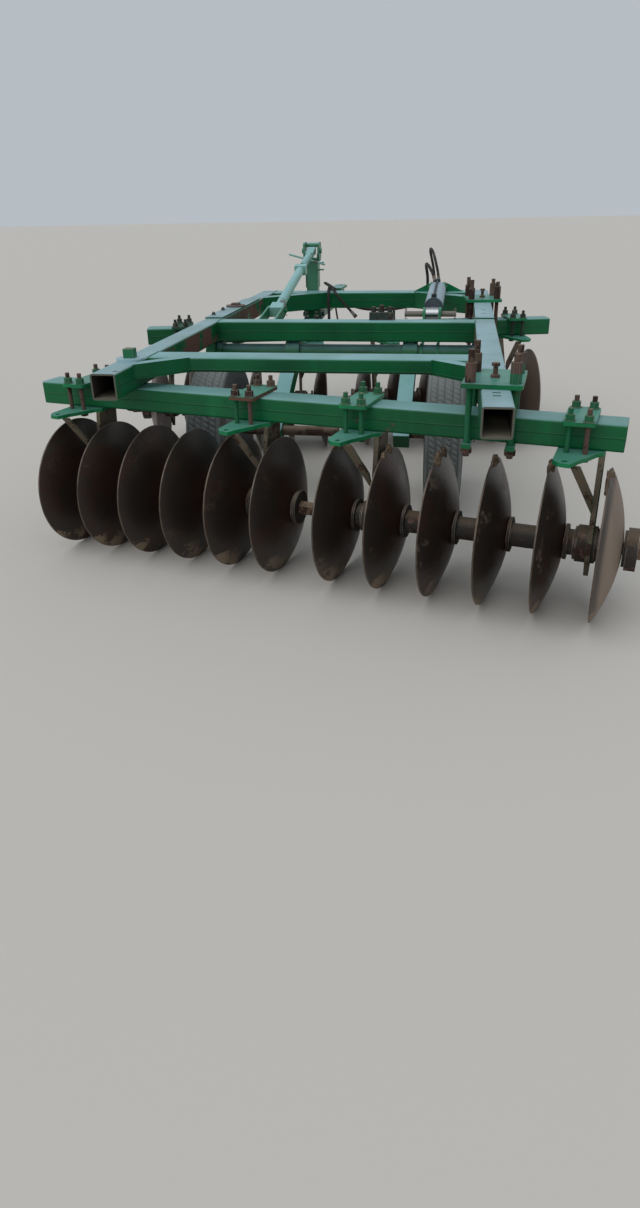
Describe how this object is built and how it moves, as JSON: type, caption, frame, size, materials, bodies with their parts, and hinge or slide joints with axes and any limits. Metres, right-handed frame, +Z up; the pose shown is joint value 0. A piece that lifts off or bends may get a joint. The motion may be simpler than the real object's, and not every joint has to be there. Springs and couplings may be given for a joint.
{
  "type": "offset disc harrow",
  "caption": "Trailed offset disc harrow: two angled rows of dished discs under a tube frame, lifted by two wheels on a hydraulic rockshaft.",
  "frame": {"origin": "ground level under the middle of the harrow's bounding box", "axes": "+Y forward to the hitch, +X to the right as seen from behind, +Z up"},
  "size_m": [3.031, 5.7768, 1.306],
  "materials": {
    "frame_green": "satin",
    "plate_green": "satin",
    "link_green": "satin",
    "rusty_steel": "rough",
    "disc_steel": "worn",
    "spool_iron": "rough",
    "bare_steel": "worn",
    "cylinder_grey": "satin",
    "tyre_rubber": "dusty",
    "hose_rubber": "matt",
    "wheel_paint": "dusty"
  },
  "bodies": {
    "frame": {"side_rails": "frame_green", "cross_tubes": "frame_green", "corner_braces": "frame_green", "gang_beams": "frame_green", "beam_pivots": "bare_steel", "beam_clamps": "plate_green", "clamp_studs": "rusty_steel", "hanger_plates": "plate_green", "hanger_studs": "rusty_steel", "standards": "rusty_steel", "bearing_housings": "rusty_steel", "rockshaft_bearings": "frame_green", "cylinder_bracket": "frame_green", "link_bracket": "frame_green", "drawbar_bracket": "frame_green", "valve_block": "spool_iron", "hose_hook": "rusty_steel", "hose_ends": "bare_steel", "lift_hose": "hose_rubber", "return_hose": "hose_rubber"},
    "rear_left_gang": {"rear_left_discs": "disc_steel", "rear_left_spools": "spool_iron", "rear_left_axle": "rusty_steel"},
    "rear_right_gang": {"rear_right_discs": "disc_steel", "rear_right_spools": "spool_iron", "rear_right_axle": "rusty_steel"},
    "front_left_gang": {"front_left_discs": "disc_steel", "front_left_spools": "spool_iron", "front_left_axle": "rusty_steel"},
    "front_right_gang": {"front_right_discs": "disc_steel", "front_right_spools": "spool_iron", "front_right_axle": "rusty_steel"},
    "rockshaft": {"rockshaft_pipe": "frame_green", "wheel_arms": "frame_green", "cylinder_lever": "frame_green", "stub_axles": "bare_steel"},
    "left_wheel": {"left_tyre": "tyre_rubber", "left_wheel": "wheel_paint"},
    "right_wheel": {"right_tyre": "tyre_rubber", "right_wheel": "wheel_paint"},
    "cylinder_barrel": {"cylinder_barrel": "cylinder_grey"},
    "cylinder_rod": {"cylinder_rod": "bare_steel"},
    "drawbar": {"drawbar": "frame_green", "hitch_tower": "frame_green"},
    "link_tube": {"link_tube": "link_green"},
    "link_screw": {"link_screw": "link_green"}
  },
  "joints": [
    {"name": "rear_left_gang_spin", "type": "hinge", "parent": "frame", "child": "rear_left_gang", "pos_m": [-0.56072, -2.14819, 0.32], "axis": [0.9753, -0.2207, 0], "continuous": true},
    {"name": "rear_right_gang_spin", "type": "hinge", "parent": "frame", "child": "rear_right_gang", "pos_m": [0.85157, -2.46776, 0.32], "axis": [0.9753, -0.2207, 0], "continuous": true},
    {"name": "front_left_gang_spin", "type": "hinge", "parent": "frame", "child": "front_left_gang", "pos_m": [-0.84902, -0.28629, 0.32], "axis": [0.9799, 0.1994, 0], "continuous": true},
    {"name": "front_right_gang_spin", "type": "hinge", "parent": "frame", "child": "front_right_gang", "pos_m": [0.56991, 0.0024, 0.32], "axis": [0.9799, 0.1994, 0], "continuous": true},
    {"name": "rockshaft_turn", "type": "hinge", "parent": "frame", "child": "rockshaft", "pos_m": [0.00659, -0.61955, 0.735], "axis": [1, 0, 0], "range_deg": [-10, 32]},
    {"name": "left_wheel_spin", "type": "hinge", "parent": "rockshaft", "child": "left_wheel", "pos_m": [-0.64841, -1.24155, 0.4], "axis": [1, 0, 0], "continuous": true},
    {"name": "right_wheel_spin", "type": "hinge", "parent": "rockshaft", "child": "right_wheel", "pos_m": [0.66159, -1.24155, 0.4], "axis": [1, 0, 0], "continuous": true},
    {"name": "cylinder_swing", "type": "hinge", "parent": "frame", "child": "cylinder_barrel", "pos_m": [0.53659, 0.78845, 0.988], "axis": [1, 0, 0], "range_deg": [-6, 2]},
    {"name": "rod_slide", "type": "slide", "parent": "cylinder_barrel", "child": "cylinder_rod", "axis": [0, -0.9992, -0.0403], "range_m": [-0.048, 0.146]},
    {"name": "drawbar_hinge", "type": "hinge", "parent": "frame", "child": "drawbar", "pos_m": [-0.50541, 1.17845, 0.742], "axis": [1, 0, 0], "range_deg": [-5, 6]},
    {"name": "link_swing", "type": "hinge", "parent": "frame", "child": "link_tube", "pos_m": [-0.50541, -0.26155, 0.95], "axis": [1, 0, 0], "range_deg": [-0.5, 0.5]},
    {"name": "link_slide", "type": "slide", "parent": "link_tube", "child": "link_screw", "axis": [0, 0.9792, 0.2028], "range_m": [-0.055, 0.05]}
  ],
  "couplings": [
    {"joint": "cylinder_swing", "follows": "rockshaft_turn", "ratio": -0.18189},
    {"joint": "rod_slide", "follows": "rockshaft_turn", "m_per_rad": 0.24374},
    {"joint": "link_swing", "follows": "drawbar_hinge", "ratio": 0.04724},
    {"joint": "link_slide", "follows": "drawbar_hinge", "m_per_rad": -0.49572}
  ]
}
